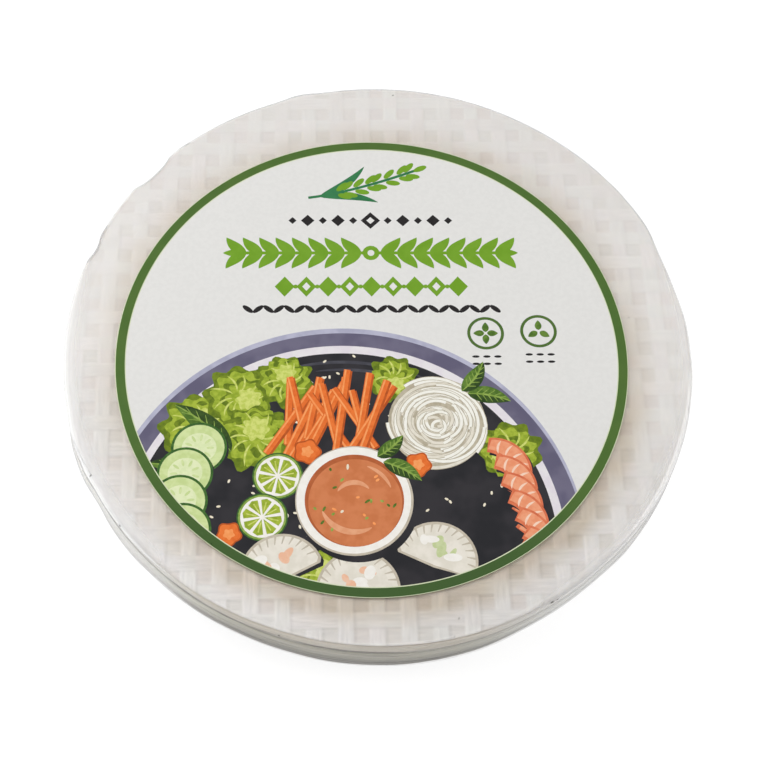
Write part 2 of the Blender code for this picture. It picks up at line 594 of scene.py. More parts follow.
def build_film(surface, material):
    """Closed film skin: the wrapped solid's outline with fine gathers over the rims."""
    azimuth = np.arange(FILM_COLUMNS) * 2 * math.pi / FILM_COLUMNS
    gathers = film_gathers(azimuth)
    turns = np.linspace(0, math.pi / 2, TURN_STEPS + 1)
    over = [HEIGHT - TOP_TURN * (1 - math.cos(turn)) for turn in turns]
    side = list(np.linspace(HEIGHT - TOP_TURN, BASE_TURN, FILM_LEVELS + 1))[1:-1]
    under = [BASE_TURN * (1 - math.sin(turn)) for turn in turns[::2]]
    skin = []
    for height in over + side + under:
        near_top = math.exp(-(((HEIGHT - height) / (5 * MM)) ** 2))
        radius = surface.radius(azimuth, height) + gathers * near_top
        skin.append((radius + film_waves(azimuth, height), height))
    top_edge, base_edge = skin[0][0], skin[-1][0]
    rings = [(top_edge * share, HEIGHT) for share in (0.03, 0.4, 0.8, 0.92, 0.965, 0.985)]
    rings += skin
    rings += [(base_edge * share, 0.0) for share in (0.985, 0.93, 0.6, 0.03)]
    made = []
    for radius, height in rings:
        made.append(round_points(radius, azimuth, np.full_like(azimuth, PACK_LOW.z + height)))
    mesh = grid_mesh("clear_film", made)
    return add_piece("clear_film", mesh, "wrapped_stack", material)


# Folded film edges along the rim: azimuths in degrees and drops below the top in
# millimetres at both ends, then the width of the fold in millimetres.
FOLDS = (
    (157.5, 166.5, 0.30, 0.55, 0.34),
    (138.2, 149.0, 0.30, 0.40, 0.34),
    (133.2, 136.4, 0.10, 0.50, 0.24),
    (106.0, 111.5, 0.55, 0.30, 0.24),
    (201.0, 211.4, 0.95, 0.25, 0.16),
    (218.6, 221.0, 0.30, 5.00, 0.40),
    (221.6, 222.6, 0.70, 1.60, 0.50),
)
FOLD_THICKNESS = 0.06 * MM
FOLD_POINTS = 24


def build_folds(surface, material):
    """Thin ribbons of doubled film that lie on the skin where it is pleated."""
    meshes = []
    for number, (start, stop, high, low, width) in enumerate(FOLDS):
        share = np.linspace(0, 1, FOLD_POINTS)
        azimuth = np.radians(start + (stop - start) * share)
        drop = (high + (low - high) * share) * MM
        half = width * MM / 2 * (0.2 + 0.8 * np.sin(math.pi * share) ** 0.5)
        rings = []
        for side, lift in ((1, 0), (-1, 0), (-1, 1), (1, 1)):
            level = np.minimum(HEIGHT - drop + side * half, HEIGHT)
            radius = surface.radius(azimuth, level) + lift * FOLD_THICKNESS
            rings.append(round_points(radius, azimuth, PACK_LOW.z + level))
        cross = [np.array([ring[point] for ring in rings]) for point in range(FOLD_POINTS)]
        meshes.append(grid_mesh(f"film_fold_{number}", cross))
    mesh = join_meshes("film_folds", meshes)
    return add_piece("film_folds", mesh, "wrapped_stack", material)


# ---- materials

# Colours of the paper: the strips and their rosier patches, the open squares, the
# painted shade in a band beside the label, and the stacked edges at the front and
# round the stack, with painted shade at their foot
PAPER = (237, 233, 227)
PAPER_ROSY = (238, 229, 225)
OPEN_TINT = (0.79, 0.72, 0.65, 1.0)
# painted shade beside the label
LABEL_SHADE_TINT = (0.77, 0.695, 0.595, 1.0)
SIDE_EDGE = (236, 234, 230)
UPPER_EDGE = (218, 209, 195)  # edges of the sheets above the crease
LOWER_EDGE = (214, 210, 197)  # and of those below it
# painted shade at the foot of the stack
PAINTED_BASE_SHADE = (92, 87, 76)

# Dark specks: place in millimetres, half length, half width, turn in degrees, and
# how dark. A speck on the paper is laid out flat, one on the film has its height.
PAPER_SPECKS = (
    (-0.4, 108.8, 0, 0.45, 0.40, 0, 0.60),
    (31.5, -100.4, 0, 0.55, 0.28, 80, 0.45),
    (30.2, -106.6, 0, 0.45, 0.30, 60, 0.35),
    (89.4, 16.3, 0, 0.45, 0.25, 10, 0.30),
    (106.5, 3.7, 0, 0.40, 0.25, 70, 0.30),
    (-88.0, -64.0, 0, 0.40, 0.25, 120, 0.20),
)
FILM_SPECKS = (
    (62.2, -92.8, 19.9, 0.75, 0.34, 30, 0.90),
    (63.9, -91.7, 19.9, 0.50, 0.26, 50, 0.90),
    (-83.0, -75.0, 20.0, 0.45, 0.30, 130, 0.75),
    (-95.1, -57.7, 20.0, 0.50, 0.32, 60, 0.75),
    (-26.9, -108.7, 16.9, 0.45, 0.35, 10, 0.55),
)
SPECK_DEPTH = 0.9
FLAT = (1.0, 1.0, 0.0)  # a place times this is laid out flat


def specks(s, place, rows):
    """How dark the specks make a place: small turned ovals that fade at their edge."""
    total = 0.0
    for x, y, z, length, width, turn, dark in rows:
        moved = s.vector("SUBTRACT", place, (x * MM, y * MM, z * MM))
        aligned = s.turned(moved, -math.radians(turn))
        scale = tuple(1 / (half * MM) for half in (length, width, SPECK_DEPTH))
        across = s.length(s.vector("MULTIPLY", aligned, scale))
        total = s.math("MAXIMUM", total, s.ramp(across, 0.55, 1.2, dark, 0.0))
    return total


def weave_coordinates(s, moved):
    """Place in the weave from a place on the label's axes: see weave_place."""
    shifted = s.vector("SUBTRACT", s.turned(moved, -WEAVE_TURN), (*WEAVE_OFFSET, 0.0))
    return s.vector("MULTIPLY", shifted, (1 / WEAVE_PITCH,) * 3)


def line_at(s, value, place, half):
    """One on a thin line where the fraction of a value has this place, else nothing."""
    away = s.math("SUBTRACT", s.math("FRACT", value), place)
    return s.ramp(s.math("ABSOLUTE", away), 0.0, half, 1.0, 0.0)


def weave_tone(s, scaled, front, vary, relief):
    """Masks and tone of the pressed weave: strips with fibres along them, each with a
    painted highlight along one edge and painted shade along the other, the upright
    strips painted lighter towards the front, and the open squares."""
    across, along, _ = s.parts(scaled)
    wander = s.noise(s.vector("MULTIPLY", scaled, (0.9, 0.9, 0.0)), 1.0, 1.0)
    half_open = s.fitted(wander, 0.10, STRIP_HALF - 0.05)

    def open_part(value):
        away = s.math("SUBTRACT", s.math("PINGPONG", value, 0.5), half_open)
        return s.ramp(away, -0.07, 0.06, 1.0, 0.0)

    open_across, open_along = open_part(across), open_part(along)
    crossing = s.math("ADD", s.math("FLOOR", across), s.math("FLOOR", along))
    under = s.math("PINGPONG", crossing, 1.0)
    over = s.math("SUBTRACT", 1.0, under)
    upright_on_top = s.math("MAXIMUM", open_along, over)
    level_on_top = s.math("MAXIMUM", open_across, under)
    upright = s.times(s.math("SUBTRACT", 1.0, open_across), upright_on_top)

    fibre_ways = ((9.0, 1.2, 1.0), (1.2, 9.0, 1.0))
    fibres = [s.noise(s.vector("MULTIPLY", scaled, way), 1.0, 3.0, 0.6) for way in fibre_ways]
    streaks = s.blend(upright, fibres[1], fibres[0])
    tones = [
        s.fitted(s.times(s.math("SUBTRACT", streaks, 0.5), relief), 0.28, 1.0),
        s.fitted(vary, 0.04, 0.98),
        s.fitted(s.times(upright, front), 0.035, 0.985),
    ]
    # painted highlight and painted shade: thin lines along the strips' edges
    for value, on_top, place, half, change in (
        (across, upright_on_top, 0.30, 0.08, 0.03), (across, upright_on_top, 0.79, 0.10, -0.07),
        (along, level_on_top, 0.70, 0.07, 0.025), (along, level_on_top, 0.22, 0.07, -0.05),
    ):
        tones.append(s.fitted(s.times(line_at(s, value, place, half), on_top, relief), change, 1.0))
    return s.times(open_across, open_along), s.times(*tones), streaks


def rice_paper_material():
    """Off-white dried rice sheet: the mat's strips and darker open squares, fine
    streaks along each strip, a warmer band of painted shade round the label, and
    painted light that makes the rim paler and parts of the edge lighter or darker."""
    s = Shader("rice_paper")
    face = s.vector("MULTIPLY", s.position(), FLAT)
    moved = s.vector("SUBTRACT", face, (LABEL_CENTRE.x, LABEL_CENTRE.y, 0.0))
    away = s.length(moved)

    def toward(x, y, low, high, start=0.0, end=1.0):
        """Change between two distances in mm from the label's middle, in a direction."""
        return s.ramp(s.reach(moved, (x, y, 0.0)), low * MM, high * MM, start, end)

    near = s.ramp(away, 92 * MM, 106 * MM, 1.0, 0.0)
    front = toward(0.2, -0.98, 0, 90)
    # how strong the fibre streaks and the painted highlight and shade on the strip edges are, more
    # towards the front
    relief = toward(-0.25, -0.97, 0, 90, 0.5, 1.5)
    # how strong the painted shade round the label is, most at its front
    beside = toward(0.35, -0.94, 0, 88, 0.65, 1.36)
    # painted light: a little lighter towards the right and the back left, darker towards the front
    # left, and lighter at the very rim
    painted_light_sides = s.times(
        toward(0.97, -0.25, 50, 106, 1.0, 1.05),
        toward(-0.87, -0.50, 50, 105, 1.0, 0.975),
        toward(-0.60, 0.80, 40, 100, 1.0, 1.02),
        s.ramp(s.length(face), 110.2 * MM, 111.2 * MM, 1.0, 1.10),
    )

    scaled = weave_coordinates(s, moved)
    speckle = s.node("ShaderNodeTexWhiteNoise", noise_dimensions="2D")
    cells = s.vector("MULTIPLY_ADD", scaled, (2.0, 2.0, 0.0), (0.5, 0.5, 0.0))
    s.link(s.vector("FLOOR", cells), speckle.inputs["Vector"])
    vary, hue = speckle.outputs["Value"], s.parts(speckle.outputs["Color"])[2]
    hole, tone, streaks = weave_tone(s, scaled, front, vary, relief)

    colour = s.mix(s.times(hue, 0.6), paint(*PAPER), paint(*PAPER_ROSY))
    in_front = s.times(front, s.fitted(near, 0.14, 0.26))
    depth = s.math("MAXIMUM", s.fitted(near, 0.12, 0.14), in_front)
    squares = s.times(hole, depth, s.fitted(vary, 0.8, 0.6))
    patchy = s.ramp(s.noise(face, 55.0, 2.0), 0.3, 0.7, 0.7, 1.15)
    # painted shade: a warmer, darker band round the label
    band = s.times(s.ramp(away, 90 * MM, 103.5 * MM, 1.0, 0.0), beside, patchy)
    colour = s.mix(squares, colour, OPEN_TINT, "MULTIPLY")
    colour = s.toned(s.mix(band, colour, LABEL_SHADE_TINT, "MULTIPLY"), s.times(tone, painted_light_sides))
    colour = s.mix(specks(s, face, PAPER_SPECKS), colour, paint(92, 86, 82))
    s.set(Base_Color=colour, Roughness=s.fitted(streaks, 0.2, 0.40), Specular_IOR_Level=0.3)
    s.set(Subsurface_Weight=0.2, Subsurface_Radius=(0.0022, 0.0018, 0.0013), Subsurface_Scale=1.0)
    s.bump(streaks, 0.00004, 0.5)
    return s.material


def edge_material(name, high, low, top, base):
    """Stacked edges of the sheets: a tone that changes from top to base, with painted
    shade at the foot, uneven from sheet to sheet, paler away from the front, with long
    streaks round the stack."""
    s = Shader(name)
    place = s.position()
    height = s.parts(place)[2]
    level = s.vector("NORMALIZE", s.vector("MULTIPLY", place, FLAT))
    front = s.ramp(s.reach(level, (-0.05, -1.0, 0.0)), 0.74, 0.97)
    colour = s.mix(s.ramp(height, base, top), paint(*low), paint(*high))
    # painted shade: the edges darker towards the foot of the stack
    painted_foot_shade = s.ramp(height, PACK_LOW.z, PACK_LOW.z + 6 * MM, 0.62, 1.0)
    colour = s.mix(front, s.toned(paint(*SIDE_EDGE)[:3], painted_foot_shade), colour)
    slow = s.vector("MULTIPLY", place, (9.0, 9.0, 480.0))
    long = s.vector("MULTIPLY", place, (50.0, 50.0, 900.0))
    layers = s.noise(slow, 1.0, 2.0)
    tone = s.times(s.fitted(layers, 0.44, 0.78), s.fitted(s.noise(long, 1.0, 3.0), 0.36, 0.82))
    greener = s.ramp(s.noise(slow, 1.6, 1.0), 0.35, 0.65)
    tinted = s.mix(greener, (1.0, 0.985, 0.99, 1.0), (0.985, 1.0, 0.97, 1.0))
    colour = s.mix(1.0, s.toned(colour, tone), tinted, "MULTIPLY")
    s.set(Base_Color=colour, Roughness=s.fitted(layers, 0.2, 0.45))
    s.set(Subsurface_Weight=0.15, Subsurface_Radius=(0.0018, 0.0015, 0.0011), Subsurface_Scale=1.0)
    s.bump(s.noise(place, 1100.0, 2.0), 0.00005, 0.5)
    return s.material


def shade_material():
    """Painted shade on the faces of the sheets that show in the gap between the two tiers."""
    s = Shader("crease_shade")
    grain = s.noise(s.position(), 400.0, 2.0)
    s.set(Base_Color=s.mix(grain, paint(146, 138, 126), paint(174, 165, 153)))
    s.set(Roughness=0.9, Specular_IOR_Level=0.1)
    return s.material


MILKY_HIGHLIGHT_STRETCHES = ((200, 34, 0.62), (342, 48, 0.42))  # middle, half width, and white haze, partly a painted highlight
BACK_RIM_WAY = (0.26, 0.97, 0.0)  # the middle of the darker rim, round the back


def slack_haze_and_highlight(s, face, level, drop):
    """Where the film hangs slack and looks milky, partly a painted highlight: its soft
    shoulder, and less so the side below it, on the stretches that the soft shoulder takes."""
    stretch = 0.0
    for middle, half, most in MILKY_HIGHLIGHT_STRETCHES:
        angle = math.radians(middle)
        along = s.reach(level, (math.cos(angle), math.sin(angle), 0.0))
        wide, narrow = (math.cos(math.radians(part * half)) for part in (1.2, 0.6))
        stretch = s.math("MAXIMUM", stretch, s.ramp(along, wide, narrow, 0.0, most))
    over = s.ramp(s.length(face), 104.5 * MM, 110.5 * MM, 0.0, 0.8)
    shoulder = s.math("MAXIMUM", s.ramp(drop, 0.04 * MM, 0.5 * MM), over)
    return s.times(stretch, shoulder, s.ramp(drop, 1.0 * MM, 2.2 * MM, 1.0, 0.22))


def film_material(name, clearness, milk):
    """Clear thin film: see-through face on, glossier and greyer at a slant, with a
    faint uneven haze. Milk is the share of white haze in it. The film is drawn darker
    and duller along the rim round the back."""
    s = Shader(name)
    place = s.position()
    face = s.vector("MULTIPLY", place, FLAT)
    level = s.vector("NORMALIZE", face)
    drop = s.math("SUBTRACT", PACK_LOW.z + HEIGHT, s.parts(place)[2])
    back = s.ramp(s.reach(level, BACK_RIM_WAY), 0.45, 0.75)
    back_rim_dark = s.times(back, s.ramp(drop, 0.2 * MM, 0.6 * MM))
    facing = s.node("ShaderNodeLayerWeight")
    facing.inputs["Blend"].default_value = 0.5
    slant, grazing = (s.math("POWER", facing.outputs["Facing"], power) for power in (5.0, 9.0))

    clear = s.node("ShaderNodeBsdfTransparent")
    tint = s.times(s.fitted(grazing, -0.75, clearness), s.fitted(back_rim_dark, -0.26, 1.0))
    s.link(s.joined(tint, tint, tint), clear.inputs["Color"])
    s.set(Base_Color=(0.94, 0.94, 0.94, 1.0), Roughness=0.6)
    haze = s.fitted(s.noise(place, 30.0, 3.0), 2 * milk, 0.0)
    # milky haze on the slack stretches, partly a painted highlight along the rim
    haze = s.math("ADD", slack_haze_and_highlight(s, face, level, drop), haze)
    gloss = s.node("ShaderNodeBsdfAnisotropic")
    gloss.inputs["Color"].default_value = (1.0, 1.0, 1.0, 1.0)
    s.link(s.fitted(s.noise(place, 45.0, 3.0), 0.10, 0.12), gloss.inputs["Roughness"])
    shine = s.math("ADD", s.times(slant, s.fitted(back_rim_dark, -0.3, 0.35)), 0.06)
    dirt = s.node("ShaderNodeBsdfDiffuse")
    dirt.inputs["Color"].default_value = paint(70, 64, 60)
    spots = specks(s, place, FILM_SPECKS)
    shown = clear.outputs[0]
    for share, layer in ((haze, s.surface), (shine, gloss), (spots, dirt)):
        shown = s.made("ShaderNodeMixShader", (share, shown, layer.outputs[0]))
    s.link(shown, s.output.inputs["Surface"])
    return s.material


# ---- printed shapes
# All print is laid out in millimetres from the label's middle, y towards its head.

# ink: first tone, second tone, size of the mottle in mm
INKS = {
    "card": ((226, 225, 222), (229, 228, 225), 1.6),
    "ring": ((76, 107, 48), (81, 111, 51), 9.0),
    "keyline": ((212, 220, 184), (217, 224, 190), 6.0),
    # painted shadow: the card's cut edge in a dark tone, for the thin shadow along the label's
    # front
    "shaded_cut_edge": ((132, 124, 106), (142, 134, 114), 4.0),
    "black": ((36, 33, 34), (42, 39, 40), 3.0),
    "lime": ((112, 158, 38), (118, 163, 44), 5.0),
    "deep": ((48, 116, 72), (56, 126, 80), 4.0),
    "tray_edge": ((170, 170, 192), (186, 186, 206), 6.0),
    "tray_rim": ((98, 94, 118), (112, 108, 130), 9.0),
    "tray_line": ((226, 219, 226), (232, 228, 230), 5.0),
    "tray": ((38, 38, 42), (52, 50, 54), 12.0),
    "gleam": ((66, 66, 74), (78, 78, 86), 5.0),
    "leaf_dark": ((44, 68, 28), (62, 88, 36), 2.2),
    "leaf": ((74, 108, 38), (104, 136, 56), 2.0),
    "leaf_light": ((126, 156, 66), (152, 178, 86), 1.6),
    "frill_dark": ((92, 114, 26), (118, 138, 34), 1.8),
    "frill": ((142, 164, 46), (168, 186, 62), 1.6),
    "frill_light": ((190, 204, 92), (212, 220, 124), 1.4),
    "skin": ((52, 92, 40), (70, 112, 50), 1.6),
    "flesh": ((198, 216, 146), (212, 226, 164), 3.0),
    "core": ((218, 230, 178), (228, 236, 192), 2.0),
    "carrot_dark": ((176, 78, 30), (196, 92, 36), 2.6),
    "carrot": ((226, 108, 44), (236, 122, 54), 2.2),
    "carrot_light": ((244, 150, 84), (248, 164, 100), 1.8),
    "noodle_dark": ((176, 166, 144), (192, 182, 160), 2.0),
    "noodle": ((222, 216, 200), (232, 226, 212), 1.8),
    "noodle_light": ((242, 240, 230), (246, 244, 236), 1.6),
    "fish_dark": ((214, 108, 72), (226, 124, 86), 2.4),
    "fish": ((236, 148, 108), (242, 164, 126), 2.2),
    "fish_light": ((248, 206, 180), (250, 216, 194), 1.6),
    "parcel_dark": ((190, 180, 162), (204, 194, 176), 3.0),
    "parcel": ((226, 220, 206), (236, 230, 218), 4.0),
    "parcel_light": ((242, 238, 230), (246, 243, 236), 2.4),
    "blush": ((238, 186, 154), (240, 198, 170), 2.0),
    "tint": ((194, 206, 152), (204, 214, 166), 2.0),
    "sauce_dark": ((172, 90, 50), (186, 100, 58), 4.0),
    "sauce": ((202, 118, 72), (212, 130, 84), 5.0),
    "sauce_light": ((226, 156, 114), (232, 168, 128), 3.0),
    "seed": ((232, 222, 196), (240, 232, 210), 1.0),
}


def oval(centre, half, turn=0.0, count=0):
    """Ellipse with half sizes (a, b), turned by degrees."""
    across, along = half
    count = count or max(10, int(9 * math.sqrt(max(half))))
    angle = np.arange(count) * 2 * math.pi / count
    return turned(np.stack((across * np.cos(angle), along * np.sin(angle)), axis=1), centre, turn)


def disc(centre, radius, count=0):
    return oval(centre, (radius, radius), 0.0, count)


def turned(points, centre, turn):
    """Points turned by degrees about the origin, then moved to the centre."""
    points = np.asarray(points, dtype=float)
    cos, sin = math.cos(math.radians(turn)), math.sin(math.radians(turn))
    x = points[:, 0] * cos - points[:, 1] * sin
    y = points[:, 0] * sin + points[:, 1] * cos
    return np.stack((x + centre[0], y + centre[1]), axis=1)


def stroke(points, width):
    """Outline of a line through the points; width is a number or one for each point."""
    points = np.asarray(points, dtype=float)
    along = np.gradient(points, axis=0)
    along /= np.hypot(along[:, 0], along[:, 1])[:, None] + 1e-9
    side = np.stack((-along[:, 1], along[:, 0]), axis=1)
    half = np.broadcast_to(np.asarray(width, dtype=float) / 2, len(points))[:, None]
    return np.concatenate((points + side * half, (points - side * half)[::-1]))


def arc_points(centre, radius, start, stop, count=12):
    return round_points(radius, np.radians(np.linspace(start, stop, count))) + centre


def curve_points(first, handle, last, count=12):
    """Points of a quadratic curve."""
    t = np.linspace(0, 1, count)[:, None]
    first, handle, last = (np.asarray(p, dtype=float) for p in (first, handle, last))
    return (1 - t) ** 2 * first + 2 * t * (1 - t) * handle + t**2 * last


def taper(count, width, thin=0.15):
    """Widths of a line that is full in its middle and thin at both ends."""
    t = np.linspace(0, 1, count)
    return width * (thin + (1 - thin) * np.sin(math.pi * t) ** 0.7)


def blade(root, tip, width, bend=0.0, count=14):
    """A leaf's midline and outline, bent sideways by a share of its length."""
    root, tip = np.asarray(root, dtype=float), np.asarray(tip, dtype=float)
    reach = tip - root
    handle = (root + tip) / 2 + bend * np.array((-reach[1], reach[0]))
    line = curve_points(root, handle, tip, count)
    t = np.linspace(0, 1, count)
    return line, stroke(line, width * np.sin(math.pi * t**0.8) ** 0.8 + 0.05)


def polar(centre, radius, angle):
    angle = math.radians(angle)
    return (centre[0] + radius * math.cos(angle), centre[1] + radius * math.sin(angle))


class Print:
    """Shapes of ink in painting order: a later one covers what is under it."""

    def __init__(self):
        self.shapes = []
        self.origin = (0.0, 0.0)

    def add(self, ink, outline):
        outline = np.asarray(outline, dtype=float) + self.origin
        reach = np.hypot(outline[:, 0], outline[:, 1])
        inside = np.minimum(1.0, PRINT_REACH / np.maximum(reach, 1e-6))
        self.shapes.append((ink, np.round(outline * inside[:, None], 4)))

    def discs(self, centre, rows):
        """Discs on each other: ink, shift right and up, radius and point count."""
        for ink, right, up, radius, count in rows:
            self.add(ink, disc((centre[0] + right, centre[1] + up), radius, count))


# -- the head of the label: plain ornaments where a pack carries its title


def draw_sprig(art):
    """A nodding ear of rice with two long leaves."""
    stem = curve_points((-23, 65.5), (-6, 68), (19, 78.5), 20)
    for tip, bend in (((-2, 79.5), -0.16), ((3, 63.5), 0.14)):
        line, outline = blade((-19, 66), tip, 3.4, bend)
        art.add("deep", outline)
    art.add("deep", stroke(stem, 1.1))
    for step in range(8):
        place = stem[6 + int(step * 1.7)]
        way = stem[7 + int(step * 1.7)] - place
        angle = math.degrees(math.atan2(way[1], way[0]))
        for side in (-1, 1):
            centre = polar(place, 2.7, angle + side * 52)
            art.add("lime", oval(centre, (2.7, 1.15), angle + side * 27))
    art.add("lime", oval(stem[-1], (2.7, 1.15), 24))


def diamond(centre, half):
    return turned([(half[0], 0), (0, half[1]), (-half[0], 0), (0, -half[1])], centre, 0)


def draw_diamond_rule(art, height, reach):
    """A middle diamond with a pale centre, and smaller diamonds beside it out towards the ends."""
    for side in (-1, 1):
        for index in range(6):
            x = side * (6.4 + index * 5.6)
            if x * side < reach - 2:
                art.add("black", diamond((x, height), (2.5, 2.5) if index % 2 else (1.5, 1.5)))
    art.add("black", diamond((0, height), (3.6, 3.6)))
    art.add("card", diamond((0, height), (1.5, 1.5)))


def draw_garland(art, height, reach):
    """Pairs of leaves along a level stem, mirrored about the middle."""
    art.add("lime", stroke([(-reach + 6, height), (reach - 6, height)], 1.3))
    pairs = 8
    step = (reach - 12) / (pairs - 1)
    for side in (-1, 1):
        for index in range(pairs):
            root = (side * (3.5 + index * step), height)
            for up in (-1, 1):
                tip = (root[0] + side * 7.4, height + up * 6.6)
                art.add("lime", blade(root, tip, 4.0, -0.16 * up * side)[1])
        art.add("lime", blade((side * (reach - 9), height), (side * reach, height), 3.4)[1])
    art.add("lime", disc((0, height), 3.1))
    art.add("card", disc((0, height), 1.3))


def draw_lozenge_chain(art, height, reach):
    for index in range(9):
        x = (index - 4) * (reach - 3.6) / 4
        art.add("lime", diamond((x, height), (3.6, 4.2)))
        if index % 2:
            art.add("card", diamond((x, height), (1.5, 1.8)))
        if index < 8:
            art.add("lime", disc((x + (reach - 3.6) / 8, height), 0.85))


def draw_grain_row(art, height, reach):
    count = 25
    for index in range(count):
        x = -reach + 2 + index * (2 * reach - 4) / (count - 1)
        art.add("black", oval((x, height), (2.35, 0.95), 38 if index % 2 else -38, 12))


def draw_badges(art):
    """Two small rings, one with a cross of four petals and one with three petals, and short dashes
    under them.
    """
    for centre, petals in (((40.5, 8.0), 4), ((59.5, 8.8), 3)):
        art.discs(centre, (("ring", 0, 0, 6.6, 40), ("card", 0, 0, 5.5, 40)))
        for index in range(petals):
            angle = 90 + index * 360 / petals
            tip = polar(centre, 4.4, angle)
            art.add("leaf", blade(polar(centre, 0.5, angle), tip, 2.4)[1])
        for row in range(2):
            for index in range(3):
                x = centre[0] + (index - 1) * 3.9
                art.add("black", oval((x, centre[1] - 9.4 - row * 2.9), (1.35, 0.5), 0, 10))


# -- the picture: a dark tray of fresh fillings seen from above

PICTURE_SHIFT = (-11.0, -2.0)  # the tray stands a little left on the label
TRAY = (0.0, -70.0)
BOWL = (4.0, -54.0)


def draw_tray(art):
    art.discs(TRAY, (
        ("tray_edge", 0, 0, 82.0, 220), ("tray_rim", 0.2, -1.1, 81.2, 220),
        ("tray_line", 0, 0, 75.0, 200), ("tray", -0.2, -0.4, 72.4, 200),
    ))
    for radius, start, stop in ((68.5, 62, 112), (65.5, 70, 98), (69.0, 132, 150)):
        line = arc_points(TRAY, radius, start, stop, 24)
        art.add("gleam", stroke(line, taper(24, 1.2)))


def draw_frill(art, centre, radius, seed):
    """A crisp leaf's ruffled tip: darker outline, curled lighter rows, pale ribs."""
    source = random.Random(seed)
    tilt = source.uniform(0, 360)
    for ink, share, lobes, depth in (
        ("frill_dark", 1.0, 9, 0.16), ("frill", 0.86, 11, 0.15), ("frill_dark", 0.66, 8, 0.2),
        ("frill", 0.56, 9, 0.18), ("frill_light", 0.36, 7, 0.2),
    ):
        angle = np.arange(56) * 2 * math.pi / 56
        ruffle = depth * np.sin(lobes * angle + source.uniform(0, 6))
        reach = radius * share * (1 + ruffle * (0.7 + 0.3 * np.sin(3 * angle)))
        shift = polar(centre, radius * (1 - share) * 0.5, tilt)
        art.add(ink, round_points(reach, angle) + shift)
    for index in range(9):
        angle = tilt + index * 40 + source.uniform(-12, 12)
        root = polar(centre, radius * 0.2, angle)
        tip = polar(centre, radius * source.uniform(0.7, 0.92), angle + 14)
        line = curve_points(root, polar(centre, radius * 0.5, angle - 8), tip, 7)
        art.add("frill_light", stroke(line, taper(7, 0.75)))


def draw_herb(art, root, tip, width, bend):
    """One smooth leaf with a paler half, a midrib and side veins."""
    line, outline = blade(root, tip, width, bend, 16)
    art.add("leaf_dark", outline)
    count = len(line)
    half = outline[:count]
    art.add("leaf", np.concatenate((line, half[::-1])))
    for index in range(3, count - 2, 2):
        for edge in (outline[:count], outline[count:][::-1]):
            end = line[min(index + 2, count - 1)] * 0.25 + edge[min(index + 2, count - 1)] * 0.75
            art.add("leaf_light", stroke([line[index], end], (0.42, 0.16)))
    art.add("leaf_light", stroke(line, taper(count, 0.7)))


def draw_cucumber(art, centre, radius, turn):
    art.discs(centre, (
        ("tray", 0.6, -1.0, radius, 36), ("skin", 0, 0, radius, 40),
        ("flesh", 0, 0, radius - 0.9, 40),
    ))
    art.add("core", oval(centre, (radius * 0.62, radius * 0.58), turn, 28))
    for index in range(9):
        angle = turn + index * 40
        art.add("flesh", oval(polar(centre, radius * 0.40, angle), (1.35, 0.5), angle, 10))


def draw_sticks(art, centre, seed):
    """A loose bundle of carrot sticks, cut square at their ends."""
    source = random.Random(seed)
    for index in range(17):
        angle = 90 + source.uniform(-34, 34)
        x = centre[0] + (index - 8) * 1.9 + source.uniform(-2, 2)
        middle = (x, centre[1] + source.uniform(-4, 4))
        reach = source.uniform(12, 16)
        first, last = polar(middle, -reach, angle), polar(middle, reach, angle)
        shade = [(first[0] + 0.5, first[1] - 0.5), (last[0] + 0.5, last[1] - 0.5)]
        art.add("carrot_dark", stroke(shade, 2.6))
        art.add("carrot", stroke([first, last], 2.3))
        light = [polar(first, 0.55, angle + 90), polar(last, 0.55, angle + 90)]
        art.add("carrot_light", stroke(light, 0.6))


def draw_noodles(art, centre, radius, seed):
    """A nest of thin round noodles: loops wound in from the outside."""
    source = random.Random(seed)
    art.add("noodle_dark", disc(centre, radius * 0.97, 48))
    for index in range(74):
        reach = radius * (1 - 0.86 * index / 74) * source.uniform(0.86, 1.04)
        start = source.uniform(0, 360)
        middle = polar(centre, source.uniform(0, radius * 0.13), source.uniform(0, 360))
        line = arc_points(middle, reach, start, start + source.uniform(70, 170), 14)
        line[:, 1] = middle[1] + (line[:, 1] - middle[1]) * source.uniform(0.86, 1.0)
        art.add("noodle_dark", stroke(line, 1.5))
        art.add("noodle_light" if index % 3 else "noodle", stroke(line, 1.05))


def draw_slice(art, centre, turn):
    """A curved pink slice with pale marbling."""
    outline = np.concatenate((
        arc_points((0, 0), 13.0, 18, 162, 22), arc_points((0, -3.5), 9.0, 150, 30, 16),
    ))
    inside = np.concatenate((
        arc_points((0, 0), 12.2, 22, 158, 20), arc_points((0, -3.5), 10.2, 148, 32, 16),
    ))
    art.add("tray", turned(outline, (centre[0] + 0.8, centre[1] - 1.1), turn))
    art.add("fish_dark", turned(outline, centre, turn))
    art.add("fish", turned(inside, centre, turn))
    for index in range(6):
        angle = 38 + index * 21
        root, tip = polar((0, 0), 7.2, angle), polar((0, 0), 12, angle)
        line = curve_points(root, polar((0, 0), 9.5, angle + 7), tip, 6)
        art.add("fish_light", turned(stroke(line, taper(6, 0.85)), centre, turn))


